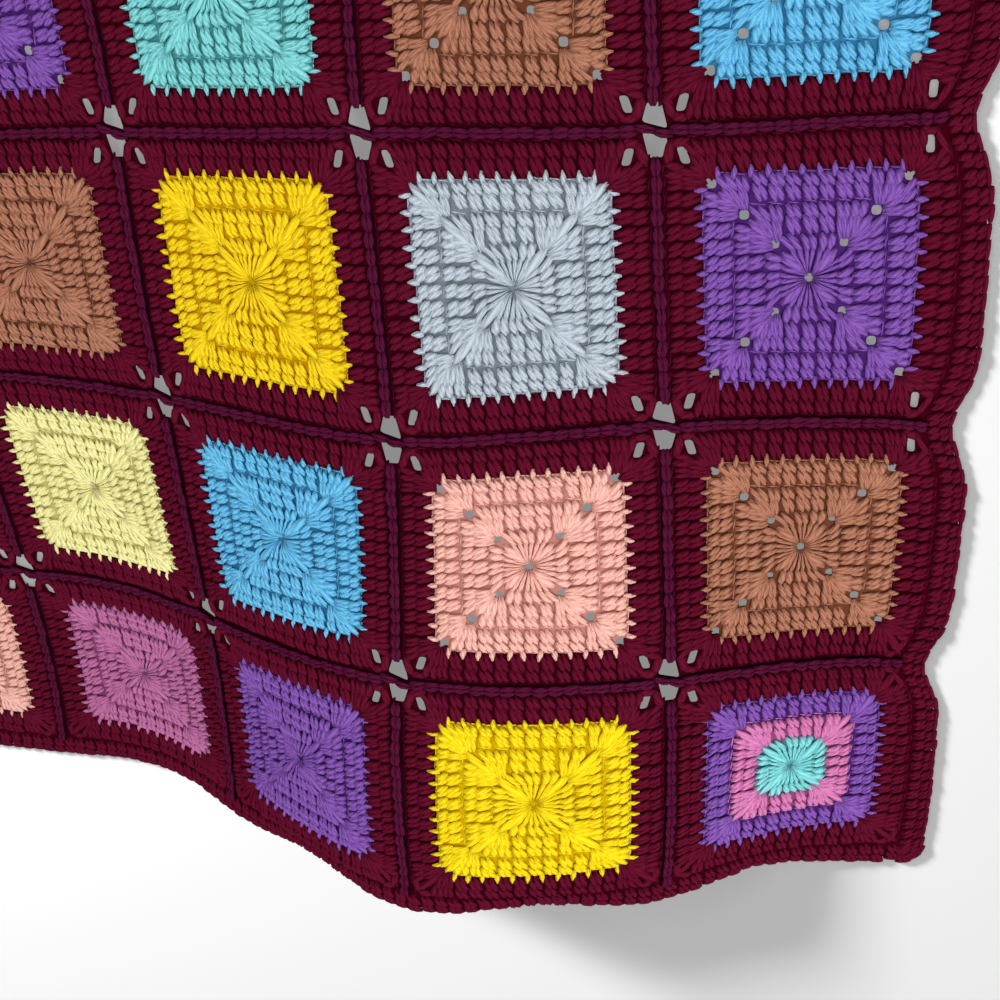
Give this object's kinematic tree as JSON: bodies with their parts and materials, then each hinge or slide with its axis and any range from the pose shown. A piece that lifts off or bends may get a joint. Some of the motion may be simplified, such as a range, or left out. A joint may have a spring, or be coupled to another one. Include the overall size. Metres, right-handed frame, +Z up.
{
  "type": "granny square blanket",
  "caption": "Crocheted blanket of solid granny squares in mixed colours with dark borders, joined by raised seams and edged all round, lying with one broad soft fold.",
  "frame": {"origin": "on the surface it lies on, under the middle of the ground it covers", "axes": "+Z up; +Y from the folded hem towards the flat top edge; +X towards the right-hand edge, seen from above with the hem nearest"},
  "size_m": [0.6738, 0.686, 0.0906],
  "materials": {
    "maroon_yarn": "matt plied yarn, a little fuzzy",
    "plum_yarn": "matt plied yarn, a little fuzzy",
    "gold_yarn": "matt plied yarn, a little fuzzy",
    "yellow_yarn": "matt plied yarn, a little fuzzy",
    "grey_yarn": "matt plied yarn, a little fuzzy",
    "violet_yarn": "matt plied yarn, a little fuzzy",
    "brown_yarn": "matt plied yarn, a little fuzzy",
    "cream_yarn": "matt plied yarn, a little fuzzy",
    "sky_yarn": "matt plied yarn, a little fuzzy",
    "salmon_yarn": "matt plied yarn, a little fuzzy",
    "mint_yarn": "matt plied yarn, a little fuzzy",
    "mauve_yarn": "matt plied yarn, a little fuzzy"
  },
  "bodies": {
    "root": {"square_row1_col1": "salmon_yarn", "square_row1_col2": "mauve_yarn", "square_row1_col3": "violet_yarn", "square_row1_col4": "yellow_yarn", "square_row1_col5": "violet_yarn", "square_row2_col1": "yellow_yarn", "square_row2_col2": "cream_yarn", "square_row2_col3": "sky_yarn", "square_row2_col4": "salmon_yarn", "square_row2_col5": "brown_yarn", "square_row3_col1": "mint_yarn", "square_row3_col2": "brown_yarn", "square_row3_col3": "gold_yarn", "square_row3_col4": "grey_yarn", "square_row3_col5": "violet_yarn", "square_row4_col1": "grey_yarn", "square_row4_col2": "violet_yarn", "square_row4_col3": "mint_yarn", "square_row4_col4": "brown_yarn", "square_row4_col5": "sky_yarn", "square_row5_col1": "gold_yarn", "square_row5_col2": "sky_yarn", "square_row5_col3": "salmon_yarn", "square_row5_col4": "cream_yarn", "square_row5_col5": "mauve_yarn", "column_seam_row1_1": "plum_yarn", "column_seam_row1_2": "plum_yarn", "column_seam_row1_3": "plum_yarn", "column_seam_row1_4": "plum_yarn", "column_seam_row2_1": "plum_yarn", "column_seam_row2_2": "plum_yarn", "column_seam_row2_3": "plum_yarn", "column_seam_row2_4": "plum_yarn", "column_seam_row3_1": "plum_yarn", "column_seam_row3_2": "plum_yarn", "column_seam_row3_3": "plum_yarn", "column_seam_row3_4": "plum_yarn", "column_seam_row4_1": "plum_yarn", "column_seam_row4_2": "plum_yarn", "column_seam_row4_3": "plum_yarn", "column_seam_row4_4": "plum_yarn", "column_seam_row5_1": "plum_yarn", "column_seam_row5_2": "plum_yarn", "column_seam_row5_3": "plum_yarn", "column_seam_row5_4": "plum_yarn", "row_seam_1": "plum_yarn", "row_seam_2": "plum_yarn", "row_seam_3": "plum_yarn", "row_seam_4": "plum_yarn", "edging_hem": "maroon_yarn", "edging_right": "maroon_yarn", "edging_top": "maroon_yarn", "edging_left": "maroon_yarn"}
  },
  "joints": []
}
